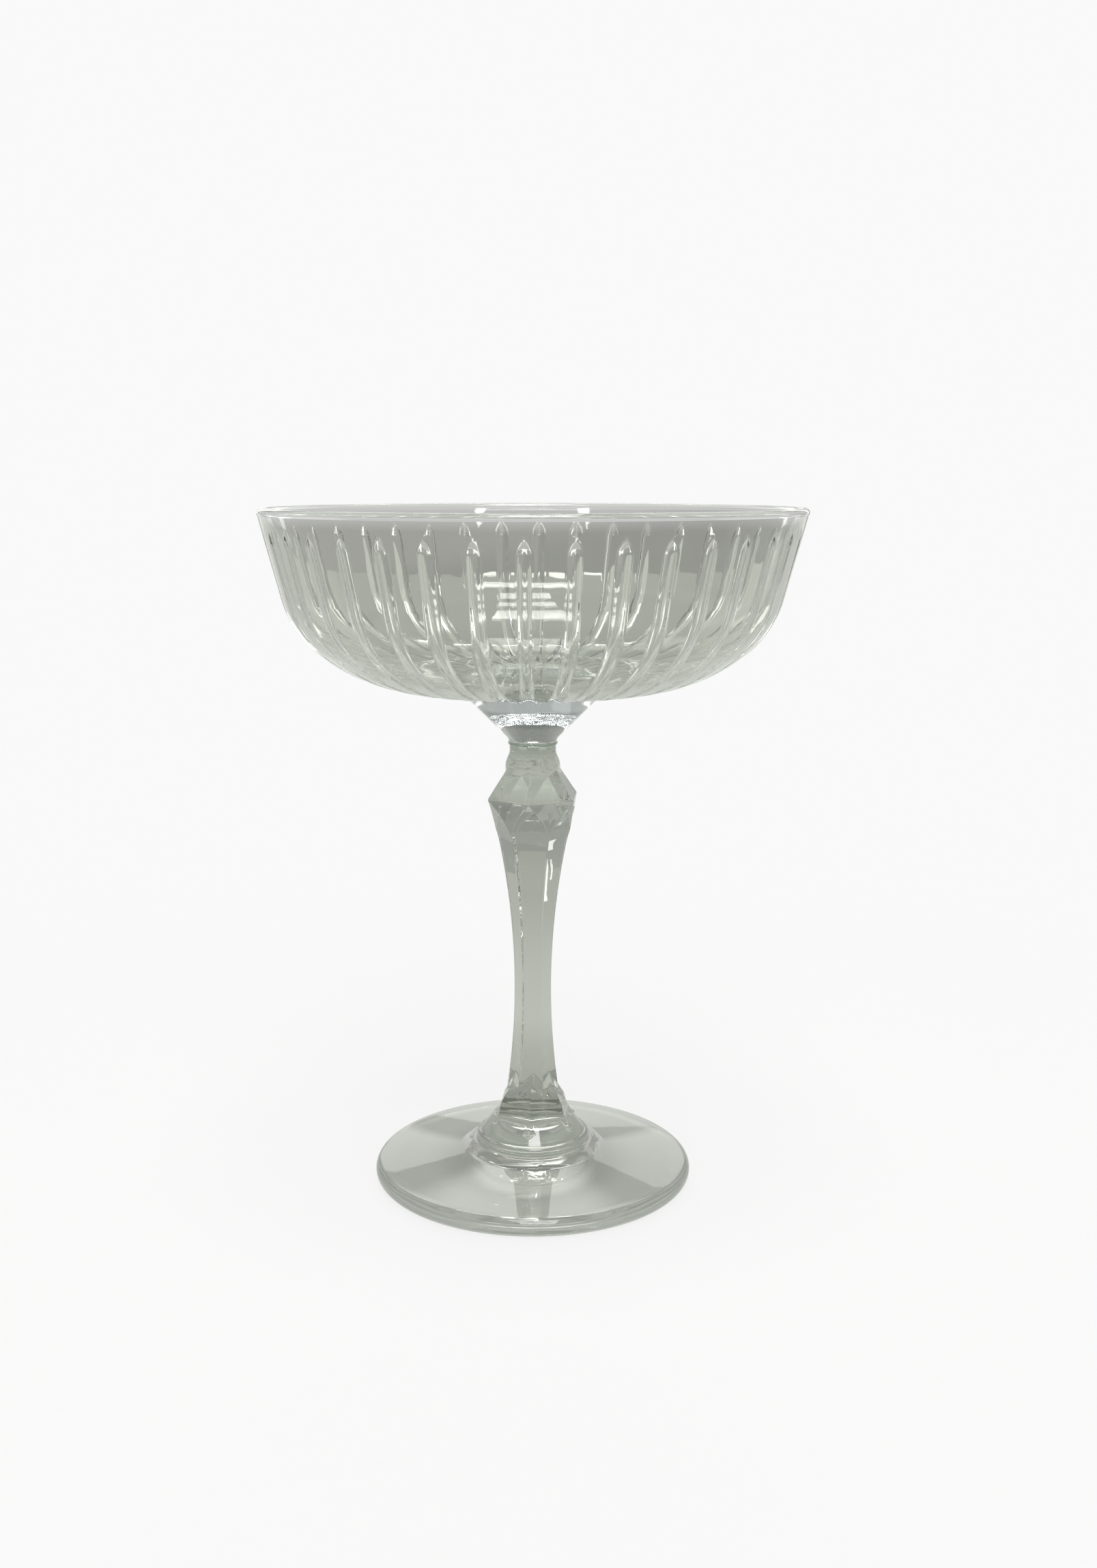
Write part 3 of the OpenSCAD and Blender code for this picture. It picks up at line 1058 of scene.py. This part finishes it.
    def build_world(self) -> None:
        """Make the room as a grey wall with patches, its level leaning by the tilt from side to side."""
        world = bpy.data.worlds.new("white_studio")
        bpy.context.scene.world = world
        world.use_nodes = True
        tree = world.node_tree
        tree.nodes.clear()
        way = add_node(tree, "ShaderNodeTexCoord").outputs["Generated"]
        part = add_node(tree, "ShaderNodeSeparateXYZ", {0: way})
        aside = add_node(tree, "ShaderNodeMath", {0: part.outputs["X"]}, operation="ABSOLUTE").outputs[0]
        turn = add_node(tree, "ShaderNodeMath", {0: aside, 1: part.outputs["Y"]},
                        operation="ARCTAN2").outputs[0]
        rise = add_node(tree, "ShaderNodeMath", {0: part.outputs["Z"]}, operation="ARCSINE").outputs[0]
        rise = add_node(tree, "ShaderNodeMath", {0: part.outputs["X"], 1: -self.tilt, 2: rise},
                        operation="MULTIPLY_ADD").outputs[0]
        glow = add_node(tree, "ShaderNodeValue").outputs[0]
        glow.default_value = self.wall
        path = add_node(tree, "ShaderNodeLightPath")
        for patch in self.patches():
            glow = patch.paint(tree, glow, turn, rise, path.outputs["Is Transmission Ray"])
        room = add_node(tree, "ShaderNodeVectorMath", {0: linear(self.tint)[:3], "Scale": glow},
                        operation="SCALE").outputs[0]
        colour = add_node(tree, "ShaderNodeMix", {
            0: path.outputs["Is Camera Ray"], 6: room, 7: linear(self.white)}, data_type="RGBA").outputs[2]
        back = add_node(tree, "ShaderNodeBackground", {"Color": colour, "Strength": 1.0})
        add_node(tree, "ShaderNodeOutputWorld", {"Surface": back.outputs[0]})

    def lights(self) -> list[SoftBox]:
        """Blinds high before the glass, a lamp, sills and panes behind it, and narrow strips."""
        return [
            SoftBox("blind_1", 0.0, 35.6, 1.2, 1.1, 0.12, 12.0, BOWL_NAME),
            SoftBox("blind_2", 5.0, 51.0, 1.2, 0.45, 0.2, 10.0),
            SoftBox("blind_3", 5.0, 65.5, 1.2, 0.45, 0.14, 10.0),
            SoftBox("blind_4", 5.0, 84.0, 1.2, 0.45, 0.36, 10.0),
            SoftBox("lamp", 180.0, 47.0, 1.2, 0.5, 0.05, 12.0),
            SoftBox("sill_left", -178.4, -2.5, 1.98, 0.055, 0.004, 1.4, BOWL_NAME),
            SoftBox("sill_right", 177.7, -2.5, 1.98, 0.11, 0.004, 1.4, BOWL_NAME),
            SoftBox("pane_left", -158.0, 12.0, 1.6, 0.12, 0.7, 2.2, BOWL_NAME),
            SoftBox("pane_right", 156.0, 12.0, 1.6, 0.12, 0.7, 2.2, BOWL_NAME),
            SoftBox("low_pane_left", -160.0, -7.5, 0.55, 0.05, 0.055, 2.2, BOWL_NAME),
            SoftBox("low_pane_right", 158.0, -7.5, 0.55, 0.05, 0.055, 2.2, BOWL_NAME),
            SoftBox("strip_high", -140.2, -2.4, 0.15, 0.0042, 0.018, 1.2, STEM_NAME),
            SoftBox("strip_low", -140.2, -13.0, 0.15, 0.0014, 0.024, 1.3, STEM_NAME),
            SoftBox("strip_side", -140.95, -11.0, 0.15, 0.0007, 0.012, 1.1, STEM_NAME),
        ]

    def build_camera(self) -> None:
        """Set the camera where the photograph was taken from."""
        lens = bpy.data.cameras.new("camera")
        lens.sensor_width = self.sensor_mm
        lens.lens = self.focal_px / PHOTO_H * lens.sensor_width
        lens.shift_x = (PHOTO_W / 2 - self.axis_px) / PHOTO_H
        lens.clip_start = self.clip_start
        made = bpy.data.objects.new("camera", lens)
        made.location = (0, -self.distance, self.eye)
        made.rotation_euler = (math.radians(90 - self.pitch_deg), 0, 0)
        bpy.context.collection.objects.link(made)
        bpy.context.scene.camera = made

    def build(self) -> None:
        """Make the whole studio and let light pass through all the walls of the glass."""
        self.build_floor()
        self.build_world()
        for box in self.lights():
            box.build()
        self.build_camera()
        scene = bpy.context.scene
        scene.view_settings.view_transform = "Standard"
        scene.cycles.max_bounces = self.bounces
        scene.cycles.glossy_bounces = self.bounces
        scene.cycles.transmission_bounces = self.bounces
        scene.cycles.transparent_max_bounces = self.bounces


def glass_finishes() -> dict[str, PressedGlass]:
    """Finishes of the four pieces: tints matched to the real glass at each height, with painted light and
    shade.

    Returns:
        A finish for each node's name.
    """
    return {
        "foot": PressedGlass("pressed_glass_foot", ((2.6, "#CDD2CC"), (4.1, "#CDCDC8"))),
        # The stem's colours hold painted shade (darker at the base, under the knop's ridge and at the neck)
        # and painted light (lighter along the leg and over the ridge).
        "stem": PressedGlass("pressed_glass_stem", (
            (9.0, "#ABB1A8"), (18.0, "#B8BCB4"), (34.0, "#D6D8D2"), (66.0, "#C8CBC4"), (80.5, "#B3B9B1"),
            (82.5, "#D9DCD5"), (87.0, "#CDD1CA"), (91.0, "#ADB3AB")), wave_mm=7.0),
        # The button's dark band from 97.2 to 99.6 mm is painted shade, and its lighter top is painted light.
        "button": PressedGlass("pressed_glass_button", (
            (92.0, "#CDD3CC"), (96.2, "#D6DCD7"), (97.2, "#949D9D"), (99.6, "#949D9D"), (100.4, "#D9E1E0"))),
        # The bowl is painted darker near the button, and white at the lip as a painted highlight.
        "bowl": PressedGlass("pressed_glass_bowl", (
            (105.0, "#CFD4CD"), (112.0, "#E2E4DF"), (136.8, "#E4E5E1"), (138.4, "#FFFFFF"))),
    }


def main() -> None:
    """Build the glass and the studio round it."""
    logging.basicConfig(level=logging.INFO, format="%(name)s: %(message)s")
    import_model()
    fused = FusedJoint().build()
    finishes = glass_finishes()
    makers = {"foot": Foot(), "stem": Stem(), "button": Button(), "bowl": Bowl()}
    for node, maker in makers.items():
        piece = maker.build(finishes[node].build(), fused)
        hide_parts(node)
        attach(piece, "root")
        mesh = piece.data
        LOG.info("%s has %d points and %d faces", piece.name, len(mesh.vertices), len(mesh.polygons))
    Studio().build()


if __name__ == "__main__":
    main()
